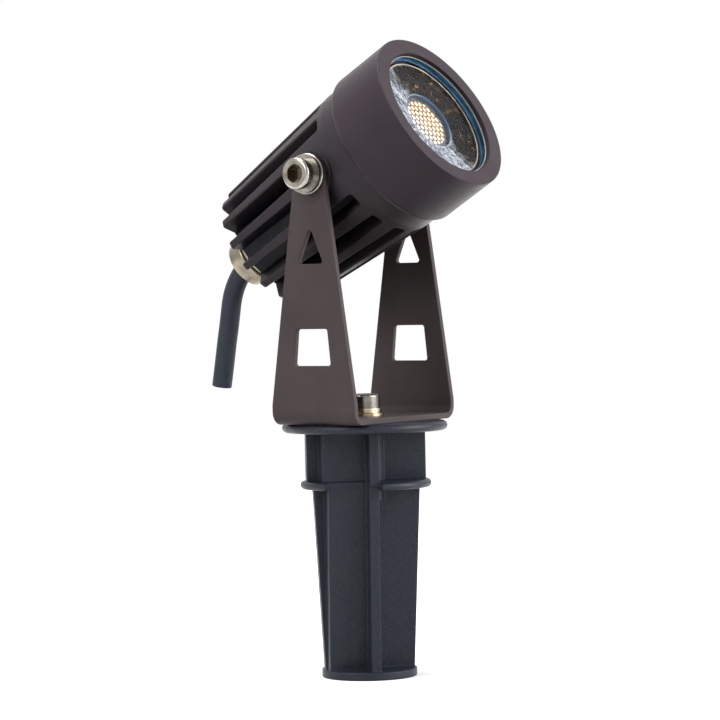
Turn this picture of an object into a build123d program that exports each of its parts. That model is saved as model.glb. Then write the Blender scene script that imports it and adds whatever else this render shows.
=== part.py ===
from build123d import *
import os
from math import acos, atan2, cos, hypot, pi, radians, sin, tan

os.makedirs("parts", exist_ok=True)

# All lengths in millimetres, all angles in degrees, +Z up, origin under the foot of the stake

# Ground stake
stake_height = 77.6
stake_turn = -45.0
foot_radius = 14.5
foot_thickness = 2.4
foot_rim_round = 0.35
foot_corner_round = 0.4
flange_radius = 25.2
flange_thickness = 2.8
collar_radius = 20.0
collar_thickness = 2.4
collar_height = 58.7
rib_thickness = 3.0
wide_rib_foot = 13.7
wide_rib_collar = 16.5
wide_rib_top = 18.4
deep_rib_foot = 12.5
deep_rib_collar = 14.2
deep_rib_top = 15.5
pad_width_lower = 13.2
pad_width_upper = 14.6
pad_depth_foot = 6.0
pad_depth_collar = 10.0
pad_depth_top = 9.0
boss_radius = 5.6
boss_length = 24.0
insert_radius = 4.1
insert_length = 10.0
insert_sink = 0.2
insert_groove_width = 1.6
insert_groove_depth = 0.5

# Screws and washers
shank_radius = 2.95
thread_gap = 0.05
hole_gap = 0.35
screw_head_radius = 4.8
screw_head_height = 4.4
screw_head_round = 0.9
hex_socket_flats = 5.0
hex_socket_depth = 2.6
base_shank_length = 16.0
pivot_shank_length = 15.0
flat_washer_bore = 3.2
spring_washer_bore = 3.1
spring_washer_thickness = 1.3
spring_washer_slit = 0.8
spring_washer_slant = 30.0
base_flat_radius = 6.0
base_flat_thickness = 1.0
base_spring_radius = 5.3
pivot_flat_radius = 6.1
pivot_flat_thickness = 1.2
pivot_spring_radius = 5.8

# Yoke bracket
sheet = 1.8
bend_inside = 2.2
arm_gap = 49.8
arm_foot_half = 15.2
arm_straight = 6.0
arm_top_radius = 5.3
pivot_rise = 75.0
low_window_start = 17.84
low_window_end = 28.81
low_window_half_bottom = 6.65
low_window_half_top = 5.55
high_window_start = 48.25
high_window_end = 59.38
high_window_half = 4.65
window_corner = 0.8
sheet_edge_round = 0.3
crease_limit = 45.0

# Head placing
head_tilt = 31.0
pivot_station = 35.0

# Front bezel, glass and gasket, stations measured rearward from the front face
bezel_radius = 26.0
bezel_length = 21.0
bezel_opening = 21.0
bezel_lip = 1.3
bezel_bore = 23.1
bezel_front_round = 0.4
bezel_rear_round = 1.8
bezel_lip_round = 0.3
gasket_leg = 0.3
gasket_inner = 20.5
gasket_fit = 0.05
glass_radius = 22.4
glass_thickness = 1.8

# Heat sink body
spigot_radius = 22.9
spigot_bore = 20.3
cavity_floor = 22.5
body_radius = 24.5
body_straight_end = 26.0
body_rear_radius = 20.6
body_end = 75.4
body_rear_round = 1.2
core_radius = 15.0
fin_count = 16
slot_start = 28.3
slot_start_pivot = 44.0
slot_floor_front = 2.7
slot_floor_rear = 3.4
slot_tip_front = 4.8
slot_tip_rear = 5.9
slot_corner = 0.9
fin_edge_round = 0.5
core_edge_break = 0.3
slot_reach = 2.5
pivot_boss_radius = 6.8
groove_station = 17.0
groove_width = 1.9
groove_bottom = 21.6
ring_section = 1.45
wire_hole_radius = 2.0
chamber_radius = 4.5
chamber_start = 46.0
gland_hole_start = 64.0
gland_hole_radius = 8.0

# Light engine
lens_disc_radius = 9.0
lens_disc_front = 5.8
lens_rim_radius = 9.6
lens_rim_front = 5.2
lens_front = 3.8
lens_radius = 19.6
lens_edge_end = 6.2
lens_cone_front = 18.4
lens_cone_rear = 8.0
lens_end = 19.0
lens_hollow_radius = 7.0
lens_hollow_start = 16.5
holder_gap = 0.1
holder_radius = 20.2
holder_rim_end = 7.6
holder_wall = 1.7
holder_foot_radius = 11.0
holder_foot = 1.2
emitter_radius = 6.5
emitter_height = 1.2
board_radius = 17.0
board_thickness = 1.6
pad_thickness = 0.5
pad_hole = 2.2
board_screw_circle = 15.0
board_screw_count = 2
board_screw_start = 90.0
board_screw_radius = 1.5
board_screw_head_radius = 2.7
board_screw_head = 2.0
board_screw_length = 6.1

# Cable gland, bush and cord
gland_spigot_length = 10.0
gland_fit = 0.1
gland_gasket_radius = 10.2
gland_gasket_thickness = 1.0
gland_flange_radius = 9.6
gland_flange_width = 2.8
gland_edge_round = 0.4
gland_neck_radius = 6.7
gland_neck_length = 4.6
gland_bore = 5.2
gland_mouth = 5.6
nut_gap = 1.4
nut_fit = 0.05
nut_radius = 8.3
nut_length = 5.6
nut_dome_start = 2.0
nut_end_radius = 7.4
nut_mouth = 6.4
nut_edge_round = 0.5
bush_fit = 0.1
bush_sink = 6.2
cord_radius = 3.1
cord_fit = 0.05
tail_start = 50.0
wire_radius = 0.8
wire_offset = 1.0
cord_bend_run = 3.3
cord_knee_run = 5.0
cord_fall_run = 7.6
cord_low_run = 8.6
cord_end_run = 5.2
cord_bend_steps = 6
cord_bend_turn = 8.9
cord_knee_turn = 6.1
cord_fall_turn = -2.4
cord_low_turn = 1.4
cord_end_turn = -1.2
cord_corner_share = 0.45

# Values that follow from the sizes above
bracket_bottom = stake_height
base_top = bracket_bottom + sheet
pivot_height = bracket_bottom + pivot_rise
arm_inner = arm_gap / 2
arm_outer = arm_inner + sheet
hole_radius = shank_radius + hole_gap
thread_radius = shank_radius + thread_gap
pivot_spring_seat = arm_outer + pivot_flat_thickness
pivot_head_seat = pivot_spring_seat + spring_washer_thickness
base_spring_seat = base_top + base_flat_thickness
base_head_seat = base_spring_seat + spring_washer_thickness
gasket_start = bezel_lip
glass_start = gasket_start + gasket_leg
glass_end = glass_start + glass_thickness
gasket_end = glass_end + gasket_leg
pad_start = cavity_floor - pad_thickness
board_start = pad_start - board_thickness
emitter_start = board_start - emitter_height
gland_seat = body_end + gland_gasket_thickness
gland_spigot_start = gland_seat - gland_spigot_length
gland_neck_start = gland_seat + gland_flange_width
gland_neck_end = gland_neck_start + gland_neck_length
nut_start = gland_neck_start + nut_gap
nut_end = nut_start + nut_length
cord_exit = nut_end - bush_sink
bush_radius = gland_bore - bush_fit
tilt = radians(head_tilt)
side_x = Vector(1, 0, 0)
forward = Vector(0, -cos(tilt), sin(tilt))
rearward = Vector(0, cos(tilt), -sin(tilt))
head_up = Vector(0, sin(tilt), cos(tilt))
pivot_center = Vector(0, 0, pivot_height)
front_center = pivot_center + forward * pivot_station
head_section = Plane(origin=front_center, x_dir=rearward, z_dir=side_x)
head_axis = Axis(front_center, rearward)


def head_plane(station):
    """Plane square to the head axis, its normal pointing to the rear."""
    return Plane(origin=front_center + rearward * station, x_dir=side_x, z_dir=rearward)


def crease_edges(part):
    """Edges of a part where its two faces meet at a clear angle."""
    edge_faces = {}
    for face in part.faces():
        for edge in face.edges():
            edge_faces.setdefault(edge, []).append(face)
    creases = ShapeList()
    for edge, faces in edge_faces.items():
        middle = edge.position_at(0.5)
        normals = [face.normal_at(middle) for face in faces]
        if normals[0].get_angle(normals[-1]) > crease_limit:
            creases.append(edge)
    return creases


def cap_screw(seat, shank_length):
    """Socket cap screw with its seat and axis on a plane, head on the normal side."""
    with BuildPart() as screw:
        with BuildSketch(seat):
            Circle(screw_head_radius)
        extrude(amount=screw_head_height)
        fillet(screw.faces().sort_by(Axis(seat.origin, seat.z_dir))[-1].edges(), screw_head_round)
        with BuildSketch(seat.offset(screw_head_height)):
            RegularPolygon(hex_socket_flats / 2, 6, major_radius=False)
        extrude(amount=-hex_socket_depth, mode=Mode.SUBTRACT)
        with BuildSketch(seat):
            Circle(shank_radius)
        extrude(amount=-shank_length)
    return screw.part


def flat_washer(seat, outer, thickness):
    """Plain washer lying on a plane."""
    with BuildPart() as washer:
        with BuildSketch(seat):
            Circle(outer)
            Circle(flat_washer_bore, mode=Mode.SUBTRACT)
        extrude(amount=thickness)
        chamfer(washer.edges().filter_by(GeomType.CIRCLE).sort_by(SortBy.RADIUS)[-1], thickness / 6)
    return washer.part


def spring_washer(seat, outer):
    """Split washer lying on a plane, its slit slanted across the section."""
    with BuildPart() as washer:
        with BuildSketch(seat):
            Circle(outer)
            Circle(spring_washer_bore, mode=Mode.SUBTRACT)
        extrude(amount=spring_washer_thickness)
        lean = spring_washer_thickness / 2 * tan(radians(spring_washer_slant))
        half_slit = spring_washer_slit / 2
        half_height = spring_washer_thickness / 2
        slit_plane = Plane(
            origin=seat.origin + seat.z_dir * half_height,
            x_dir=seat.y_dir,
            z_dir=seat.x_dir * -1,
        )
        with BuildSketch(slit_plane):
            Polygon(
                (-half_slit - lean, -half_height),
                (half_slit - lean, -half_height),
                (half_slit + lean, half_height),
                (-half_slit + lean, half_height),
            )
        extrude(amount=2 * outer, mode=Mode.SUBTRACT)
    return washer.part


def fin_slot(angle, start):
    """Cutter for one gap between two fins, wider at the tips and towards the rear."""
    turn = radians(angle)
    outward = side_x * cos(turn) + head_up * sin(turn)
    finish = body_end + slot_reach
    top_radius = body_radius + slot_reach
    front_share = (top_radius - core_radius) / (body_radius - core_radius)
    rear_share = (top_radius - core_radius) / (body_rear_radius - core_radius)
    top_front = slot_floor_front + (slot_tip_front - slot_floor_front) * front_share
    top_rear = slot_floor_rear + (slot_tip_rear - slot_floor_rear) * rear_share
    share = (start - slot_start) / (body_end - slot_start)
    floor_front = slot_floor_front + (slot_floor_rear - slot_floor_front) * share
    tip_front = top_front + (top_rear - top_front) * share
    floor_plane = Plane(origin=front_center + outward * core_radius, x_dir=rearward, z_dir=outward)
    tip_plane = Plane(origin=front_center + outward * top_radius, x_dir=rearward, z_dir=outward)
    with BuildPart() as cutter:
        with BuildSketch(floor_plane):
            with BuildLine():
                FilletPolyline(
                    (finish, slot_floor_rear / 2),
                    (start, floor_front / 2),
                    (start, -floor_front / 2),
                    (finish, -slot_floor_rear / 2),
                    radius=[0, slot_corner, slot_corner, 0],
                    close=True,
                )
            make_face()
        with BuildSketch(tip_plane):
            with BuildLine():
                FilletPolyline(
                    (finish, top_rear / 2),
                    (start, tip_front / 2),
                    (start, -tip_front / 2),
                    (finish, -top_rear / 2),
                    radius=[0, slot_corner, slot_corner, 0],
                    close=True,
                )
            make_face()
        loft(ruled=True)
        # Broken edge where the floor of the gap ends
        break_depth = finish - body_end + core_edge_break
        edge_plane = Plane(origin=front_center, x_dir=rearward, z_dir=rearward.cross(outward))
        with BuildSketch(edge_plane):
            Polygon(
                (finish - break_depth, core_radius),
                (finish, core_radius),
                (finish, core_radius - break_depth),
            )
        extrude(amount=slot_floor_front / 2, both=True)
    return cutter.part


# Ground stake, one moulding
stake_angle = radians(stake_turn)
stake_x = Vector(cos(stake_angle), sin(stake_angle), 0)
stake_y = Vector(-sin(stake_angle), cos(stake_angle), 0)
wide_plane = Plane(origin=(0, 0, 0), x_dir=stake_x, z_dir=stake_y * -1)
deep_plane = Plane(origin=(0, 0, 0), x_dir=stake_y, z_dir=stake_x)
collar_plane = Plane(
    origin=(0, 0, collar_height - collar_thickness / 2),
    x_dir=stake_x,
    z_dir=(0, 0, 1),
)
foot_middle = foot_thickness / 2
flange_middle = stake_height - flange_thickness / 2
rib_half = rib_thickness / 2

with BuildPart() as ground_stake:
    # Collar with a round rim, cut straight in front of the pads
    with BuildSketch(Plane.XZ):
        with Locations((0, collar_height)):
            Rectangle(
                collar_radius - collar_thickness / 2,
                collar_thickness,
                align=(Align.MIN, Align.CENTER),
            )
        with Locations((collar_radius - collar_thickness / 2, collar_height)):
            Circle(collar_thickness / 2)
    revolve(axis=Axis.Z)
    for side in (-1, 1):
        with BuildSketch(collar_plane):
            cut_x = side * (pad_width_upper - rib_half) / 2
            cut_y = side * (pad_depth_collar + collar_radius / 2)
            with Locations((cut_x, cut_y)):
                Rectangle(pad_width_upper + rib_half, collar_radius)
        extrude(amount=collar_thickness, mode=Mode.SUBTRACT)
    # Foot and flange
    with BuildSketch(Plane.XZ):
        Rectangle(foot_radius, foot_thickness, align=(Align.MIN, Align.MIN))
        with Locations((0, flange_middle)):
            Rectangle(
                flange_radius - flange_thickness / 2,
                flange_thickness,
                align=(Align.MIN, Align.CENTER),
            )
        with Locations((flange_radius - flange_thickness / 2, flange_middle)):
            Circle(flange_thickness / 2)
    revolve(axis=Axis.Z)
    # Crossed ribs
    with BuildSketch(wide_plane):
        Polygon(
            (-wide_rib_foot, foot_middle),
            (wide_rib_foot, foot_middle),
            (wide_rib_collar, collar_height),
            (-wide_rib_collar, collar_height),
        )
        Polygon(
            (-wide_rib_top, collar_height),
            (wide_rib_top, collar_height),
            (wide_rib_top, flange_middle),
            (-wide_rib_top, flange_middle),
        )
    extrude(amount=rib_half, both=True)
    with BuildSketch(deep_plane):
        Polygon(
            (-deep_rib_foot, foot_middle),
            (deep_rib_foot, foot_middle),
            (deep_rib_collar, collar_height),
            (-deep_rib_collar, collar_height),
        )
        Polygon(
            (-deep_rib_top, collar_height),
            (deep_rib_top, collar_height),
            (deep_rib_top, flange_middle),
            (-deep_rib_top, flange_middle),
        )
    extrude(amount=rib_half, both=True)
    # Pads in two opposite corners of the cross
    for side in (-1, 1):
        with BuildSketch(deep_plane):
            Polygon(
                (0, foot_middle),
                (side * pad_depth_foot, foot_middle),
                (side * pad_depth_collar, collar_height),
                (0, collar_height),
            )
        extrude(amount=side * pad_width_lower)
        with BuildSketch(deep_plane):
            Polygon(
                (0, collar_height),
                (side * pad_depth_top, collar_height),
                (side * pad_depth_top, flange_middle),
                (0, flange_middle),
            )
        extrude(amount=side * pad_width_upper)
    # Rounded foot
    foot_creases = crease_edges(ground_stake.part).filter_by_position(Axis.Z, 0, 2 * foot_thickness)
    foot_rims = foot_creases.filter_by(GeomType.CIRCLE)
    fillet(foot_creases.filter_by(GeomType.LINE), foot_corner_round)
    fillet(foot_rims, foot_rim_round)
    # Boss for the threaded insert
    with BuildSketch(Plane.XY.offset(stake_height - boss_length)):
        Circle(boss_radius)
    extrude(amount=boss_length - flange_thickness / 2)
    with BuildSketch(Plane.XY.offset(stake_height)):
        Circle(insert_radius)
    extrude(amount=-insert_length - insert_sink, mode=Mode.SUBTRACT)
    with BuildSketch(Plane.XY.offset(stake_height)):
        Circle(hole_radius)
    extrude(amount=-base_shank_length, mode=Mode.SUBTRACT)

ground_stake.part.label = "ground_stake"
export_step(ground_stake.part, "parts/ground_stake.step")

# Threaded insert in the stake
insert_top = stake_height - insert_sink
insert_middle = insert_top - insert_length / 2
with BuildPart() as stake_insert:
    with BuildSketch(Plane.XY.offset(insert_top)):
        Circle(insert_radius)
        Circle(thread_radius, mode=Mode.SUBTRACT)
    extrude(amount=-insert_length)
    with BuildSketch(Plane.XY.offset(insert_middle - insert_groove_width / 2)):
        Circle(insert_radius)
        Circle(insert_radius - insert_groove_depth, mode=Mode.SUBTRACT)
    extrude(amount=insert_groove_width, mode=Mode.SUBTRACT)

stake_insert.part.label = "stake_insert"
export_step(stake_insert.part, "parts/stake_insert.step")

# Screw and washers that clamp the bracket on the stake
with BuildPart() as base_flat_washer:
    add(flat_washer(Plane.XY.offset(base_top), base_flat_radius, base_flat_thickness))

base_flat_washer.part.label = "base_flat_washer"
export_step(base_flat_washer.part, "parts/base_flat_washer.step")

base_spring_plane = Plane(origin=(0, 0, base_spring_seat), x_dir=(1, 0, 0), z_dir=(0, 0, 1))
with BuildPart() as base_spring_washer:
    add(spring_washer(base_spring_plane, base_spring_radius))

base_spring_washer.part.label = "base_spring_washer"
export_step(base_spring_washer.part, "parts/base_spring_washer.step")

with BuildPart() as base_bolt:
    add(cap_screw(Plane.XY.offset(base_head_seat), base_shank_length))

base_bolt.part.label = "base_bolt"
export_step(base_bolt.part, "parts/base_bolt.step")

# Yoke bracket bent from one sheet
taper_start = bracket_bottom + arm_straight
taper_drop = pivot_height - taper_start
tangent_angle = atan2(-taper_drop, arm_foot_half) + acos(arm_top_radius / hypot(taper_drop, arm_foot_half))
tangent_y = arm_top_radius * cos(tangent_angle)
tangent_z = pivot_height + arm_top_radius * sin(tangent_angle)
arm_top = pivot_height + arm_top_radius
bend_outside = bend_inside + sheet

with BuildPart() as yoke_bracket:
    with BuildSketch(Plane.XZ):
        with BuildLine():
            FilletPolyline(
                (-arm_outer, arm_top),
                (-arm_outer, bracket_bottom),
                (arm_outer, bracket_bottom),
                (arm_outer, arm_top),
                (arm_inner, arm_top),
                (arm_inner, base_top),
                (-arm_inner, base_top),
                (-arm_inner, arm_top),
                radius=[0, bend_outside, bend_outside, 0, 0, bend_inside, bend_inside, 0],
                close=True,
            )
        make_face()
    extrude(amount=arm_foot_half, both=True)
    with BuildSketch(Plane.YZ):
        Polygon(
            (-arm_foot_half, bracket_bottom),
            (arm_foot_half, bracket_bottom),
            (arm_foot_half, taper_start),
            (tangent_y, tangent_z),
            (-tangent_y, tangent_z),
            (-arm_foot_half, taper_start),
        )
        with Locations((0, pivot_height)):
            Circle(arm_top_radius)
            Circle(hole_radius, mode=Mode.SUBTRACT)
        with BuildLine():
            FilletPolyline(
                (-low_window_half_bottom, bracket_bottom + low_window_start),
                (low_window_half_bottom, bracket_bottom + low_window_start),
                (low_window_half_top, bracket_bottom + low_window_end),
                (-low_window_half_top, bracket_bottom + low_window_end),
                radius=window_corner,
                close=True,
            )
        make_face(mode=Mode.SUBTRACT)
        with BuildLine():
            FilletPolyline(
                (-high_window_half, bracket_bottom + high_window_start),
                (high_window_half, bracket_bottom + high_window_start),
                (0, bracket_bottom + high_window_end),
                radius=window_corner,
                close=True,
            )
        make_face(mode=Mode.SUBTRACT)
    extrude(amount=arm_outer, both=True, mode=Mode.INTERSECT)
    with BuildSketch(Plane.XY.offset(bracket_bottom)):
        Circle(hole_radius)
    extrude(amount=sheet, mode=Mode.SUBTRACT)
    fillet(crease_edges(yoke_bracket.part), sheet_edge_round)

yoke_bracket.part.label = "yoke_bracket"
export_step(yoke_bracket.part, "parts/yoke_bracket.step")

# Screws and washers at the two pivots
left_pivot = Plane(origin=pivot_center, x_dir=forward, z_dir=side_x * -1)
right_pivot = Plane(origin=pivot_center, x_dir=forward, z_dir=side_x)

with BuildPart() as pivot_flat_washers:
    add(flat_washer(left_pivot.offset(arm_outer), pivot_flat_radius, pivot_flat_thickness))
    add(flat_washer(right_pivot.offset(arm_outer), pivot_flat_radius, pivot_flat_thickness))

pivot_flat_washers.part.label = "pivot_flat_washers"
export_step(pivot_flat_washers.part, "parts/pivot_flat_washers.step")

with BuildPart() as pivot_spring_washers:
    add(spring_washer(left_pivot.offset(pivot_spring_seat), pivot_spring_radius))
    add(spring_washer(right_pivot.offset(pivot_spring_seat), pivot_spring_radius))

pivot_spring_washers.part.label = "pivot_spring_washers"
export_step(pivot_spring_washers.part, "parts/pivot_spring_washers.step")

with BuildPart() as pivot_bolt_left:
    add(cap_screw(left_pivot.offset(pivot_head_seat), pivot_shank_length))

pivot_bolt_left.part.label = "pivot_bolt_left"
export_step(pivot_bolt_left.part, "parts/pivot_bolt_left.step")

with BuildPart() as pivot_bolt_right:
    add(cap_screw(right_pivot.offset(pivot_head_seat), pivot_shank_length))

pivot_bolt_right.part.label = "pivot_bolt_right"
export_step(pivot_bolt_right.part, "parts/pivot_bolt_right.step")

# Front bezel
with BuildPart() as front_bezel:
    with BuildSketch(head_section):
        with BuildLine():
            FilletPolyline(
                (0, bezel_opening),
                (0, bezel_radius),
                (bezel_length, bezel_radius),
                (bezel_length, bezel_bore),
                (bezel_lip, bezel_bore),
                (bezel_lip, bezel_opening),
                radius=[bezel_lip_round, bezel_front_round, bezel_rear_round, 0, 0, 0],
                close=True,
            )
        make_face()
    revolve(axis=head_axis)

front_bezel.part.label = "front_bezel"
export_step(front_bezel.part, "parts/front_bezel.step")

# Gasket folded round the edge of the glass
with BuildPart() as glass_gasket:
    with BuildSketch(head_section):
        Polygon(
            (gasket_start, gasket_inner),
            (gasket_start, bezel_bore - gasket_fit),
            (gasket_end, bezel_bore - gasket_fit),
            (gasket_end, gasket_inner),
            (glass_end, gasket_inner),
            (glass_end, glass_radius),
            (glass_start, glass_radius),
            (glass_start, gasket_inner),
        )
    revolve(axis=head_axis)

glass_gasket.part.label = "glass_gasket"
export_step(glass_gasket.part, "parts/glass_gasket.step")

# Front glass
with BuildPart() as front_glass:
    with BuildSketch(head_plane(glass_start)):
        Circle(glass_radius)
    extrude(amount=glass_thickness)

front_glass.part.label = "front_glass"
export_step(front_glass.part, "parts/front_glass.step")

# Heat sink body with radial fins
half_pitch = 180 / fin_count
slot_cutters = []
for index in range(fin_count):
    slot_angle = half_pitch * (2 * index + 1)
    beside_pivot = abs(cos(radians(slot_angle))) > cos(radians(2 * half_pitch))
    slot_cutters.append(fin_slot(slot_angle, slot_start_pivot if beside_pivot else slot_start))

screw_pitch = 360 / board_screw_count
screw_angles = [radians(board_screw_start + screw_pitch * index) for index in range(board_screw_count)]
board_screw_points = [(board_screw_circle * cos(a), board_screw_circle * sin(a)) for a in screw_angles]
board_screw_depth = board_screw_length - board_thickness - pad_thickness

with BuildPart() as heat_sink_body:
    with BuildSketch(head_section):
        with BuildLine():
            FilletPolyline(
                (gasket_end, spigot_bore),
                (gasket_end, spigot_radius),
                (bezel_length, spigot_radius),
                (bezel_length, body_radius),
                (body_straight_end, body_radius),
                (body_end, body_rear_radius),
                (body_end, 0),
                (cavity_floor, 0),
                (cavity_floor, spigot_bore),
                radius=[0, 0, 0, 0, 0, body_rear_round, 0, 0, 0],
                close=True,
            )
        make_face()
    revolve(axis=head_axis)
    for cutter in slot_cutters:
        add(cutter, mode=Mode.SUBTRACT)
    fin_faces = heat_sink_body.faces().filter_by(GeomType.CONE)
    fillet(fin_faces.edges().filter_by(GeomType.CIRCLE, reverse=True), fin_edge_round)
    # Pivot bosses, face to face with the arms of the bracket
    for pivot_plane in (left_pivot, right_pivot):
        with BuildSketch(pivot_plane.offset(core_radius)):
            Circle(pivot_boss_radius)
        extrude(amount=arm_inner - core_radius)
        with BuildSketch(pivot_plane.offset(pivot_head_seat - pivot_shank_length)):
            Circle(thread_radius)
        extrude(amount=pivot_shank_length, mode=Mode.SUBTRACT)
    # Groove for the ring seal
    with BuildSketch(head_section):
        with Locations((groove_station, groove_bottom)):
            Rectangle(groove_width, bezel_bore - groove_bottom, align=(Align.CENTER, Align.MIN))
    revolve(axis=head_axis, mode=Mode.SUBTRACT)
    # Way for the leads and the cable
    with BuildSketch(head_plane(cavity_floor)):
        Circle(wire_hole_radius)
    extrude(amount=chamber_start - cavity_floor, mode=Mode.SUBTRACT)
    with BuildSketch(head_plane(chamber_start)):
        Circle(chamber_radius)
    extrude(amount=gland_hole_start - chamber_start, mode=Mode.SUBTRACT)
    with BuildSketch(head_plane(gland_hole_start)):
        Circle(gland_hole_radius)
    extrude(amount=body_end - gland_hole_start, mode=Mode.SUBTRACT)
    # Threads for the board screws
    with BuildSketch(head_plane(cavity_floor)):
        with Locations(*board_screw_points):
            Circle(board_screw_radius)
    extrude(amount=board_screw_depth, mode=Mode.SUBTRACT)

heat_sink_body.part.label = "heat_sink_body"
export_step(heat_sink_body.part, "parts/heat_sink_body.step")

# Ring seal between bezel and body
ring_center = (groove_bottom + bezel_bore) / 2
with BuildPart() as bezel_o_ring:
    with BuildSketch(head_section):
        with Locations((groove_station, ring_center)):
            Circle(ring_section / 2)
    revolve(axis=head_axis)

bezel_o_ring.part.label = "bezel_o_ring"
export_step(bezel_o_ring.part, "parts/bezel_o_ring.step")

# Collimator lens
with BuildPart() as tir_lens:
    with BuildSketch(head_section):
        Polygon(
            (lens_disc_front, 0),
            (lens_disc_front, lens_disc_radius),
            (lens_rim_front, lens_rim_radius),
            (lens_front, lens_radius),
            (lens_edge_end, lens_radius),
            (lens_edge_end, lens_cone_front),
            (lens_end, lens_cone_rear),
            (lens_end, lens_hollow_radius),
            (lens_hollow_start, lens_hollow_radius),
            (lens_hollow_start, 0),
        )
    revolve(axis=head_axis)

tir_lens.part.label = "tir_lens"
export_step(tir_lens.part, "parts/tir_lens.step")

# Lens holder standing on the board
cone_slope = (lens_cone_front - lens_cone_rear) / (lens_end - lens_edge_end)
holder_inner_front = lens_cone_front + holder_gap
holder_inner_rear = lens_cone_rear + holder_gap
holder_foot_start = board_start - holder_foot
holder_foot_inner = holder_inner_rear - cone_slope * (holder_foot_start - lens_end)
holder_rim_inner = holder_inner_front - cone_slope * (holder_rim_end - lens_edge_end)
with BuildPart() as lens_holder:
    with BuildSketch(head_section):
        Polygon(
            (lens_edge_end, holder_inner_front),
            (lens_edge_end, holder_radius),
            (holder_rim_end, holder_radius),
            (holder_rim_end, holder_rim_inner + holder_wall),
            (holder_foot_start, holder_foot_inner + holder_wall),
            (holder_foot_start, holder_foot_radius),
            (board_start, holder_foot_radius),
            (board_start, holder_foot_inner),
            (holder_foot_start, holder_foot_inner),
        )
    revolve(axis=head_axis)

lens_holder.part.label = "lens_holder"
export_step(lens_holder.part, "parts/lens_holder.step")

# Emitter, board, thermal pad and board screws
with BuildPart() as led_emitter:
    with BuildSketch(head_plane(emitter_start)):
        Circle(emitter_radius)
    extrude(amount=emitter_height)

led_emitter.part.label = "led_emitter"
export_step(led_emitter.part, "parts/led_emitter.step")

with BuildPart() as led_board:
    with BuildSketch(head_plane(board_start)):
        Circle(board_radius)
        with Locations(*board_screw_points):
            Circle(board_screw_radius + thread_gap, mode=Mode.SUBTRACT)
    extrude(amount=board_thickness)

led_board.part.label = "led_board"
export_step(led_board.part, "parts/led_board.step")

with BuildPart() as thermal_pad:
    with BuildSketch(head_plane(pad_start)):
        Circle(board_radius)
        Circle(pad_hole, mode=Mode.SUBTRACT)
        with Locations(*board_screw_points):
            Circle(board_screw_radius + thread_gap, mode=Mode.SUBTRACT)
    extrude(amount=pad_thickness)

thermal_pad.part.label = "thermal_pad"
export_step(thermal_pad.part, "parts/thermal_pad.step")

with BuildPart() as board_screws:
    with BuildSketch(head_plane(board_start)):
        with Locations(*board_screw_points):
            Circle(board_screw_head_radius)
    extrude(amount=-board_screw_head)
    with BuildSketch(head_plane(board_start)):
        with Locations(*board_screw_points):
            Circle(board_screw_radius)
    extrude(amount=board_screw_length)

board_screws.part.label = "board_screws"
export_step(board_screws.part, "parts/board_screws.step")

# Cable gland
with BuildPart() as cable_gland:
    with BuildSketch(head_section):
        with BuildLine():
            FilletPolyline(
                (gland_neck_end, gland_mouth),
                (cord_exit, gland_bore),
                (gland_spigot_start, gland_bore),
                (gland_spigot_start, gland_hole_radius - gland_fit),
                (gland_seat, gland_hole_radius - gland_fit),
                (gland_seat, gland_flange_radius),
                (gland_neck_start, gland_flange_radius),
                (gland_neck_start, gland_neck_radius),
                (gland_neck_end, gland_neck_radius),
                radius=[0, 0, 0, 0, 0, gland_edge_round, gland_edge_round, 0, gland_edge_round],
                close=True,
            )
        make_face()
    revolve(axis=head_axis)

cable_gland.part.label = "cable_gland"
export_step(cable_gland.part, "parts/cable_gland.step")

# Nut on the gland, its rounded end drawn in to a smaller rim
nut_shoulder = nut_start + nut_dome_start
nut_bore = gland_neck_radius + nut_fit
with BuildPart() as gland_nut:
    with BuildSketch(head_section):
        with BuildLine():
            FilletPolyline(
                (nut_start, nut_bore),
                (nut_start, nut_radius),
                (nut_shoulder, nut_radius),
                (nut_end, nut_end_radius),
                (nut_end, nut_mouth),
                (gland_neck_end, gland_mouth),
                (gland_neck_end, nut_bore),
                radius=[0, nut_edge_round, nut_length, nut_edge_round, 0, 0, 0],
                close=True,
            )
        make_face()
    revolve(axis=head_axis)

gland_nut.part.label = "gland_nut"
export_step(gland_nut.part, "parts/gland_nut.step")

with BuildPart() as gland_gasket:
    with BuildSketch(head_plane(body_end)):
        Circle(gland_gasket_radius)
        Circle(gland_hole_radius - gland_fit / 2, mode=Mode.SUBTRACT)
    extrude(amount=gland_gasket_thickness)

gland_gasket.part.label = "gland_gasket"
export_step(gland_gasket.part, "parts/gland_gasket.step")

# Bush, cable tail and leads inside the body
with BuildPart() as gland_bush:
    with BuildSketch(head_plane(gland_spigot_start)):
        Circle(bush_radius)
        Circle(cord_radius + cord_fit, mode=Mode.SUBTRACT)
    extrude(amount=cord_exit - gland_spigot_start)

gland_bush.part.label = "gland_bush"
export_step(gland_bush.part, "parts/gland_bush.step")

with BuildPart() as cable_tail:
    with BuildSketch(head_plane(tail_start)):
        Circle(cord_radius)
    extrude(amount=cord_exit - tail_start)

cable_tail.part.label = "cable_tail"
export_step(cable_tail.part, "parts/cable_tail.step")

with BuildPart() as lead_wires:
    with BuildSketch(head_plane(pad_start)):
        with Locations((-wire_offset, 0), (wire_offset, 0)):
            Circle(wire_radius)
    extrude(amount=tail_start - pad_start)

lead_wires.part.label = "lead_wires"
export_step(lead_wires.part, "parts/lead_wires.step")

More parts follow.
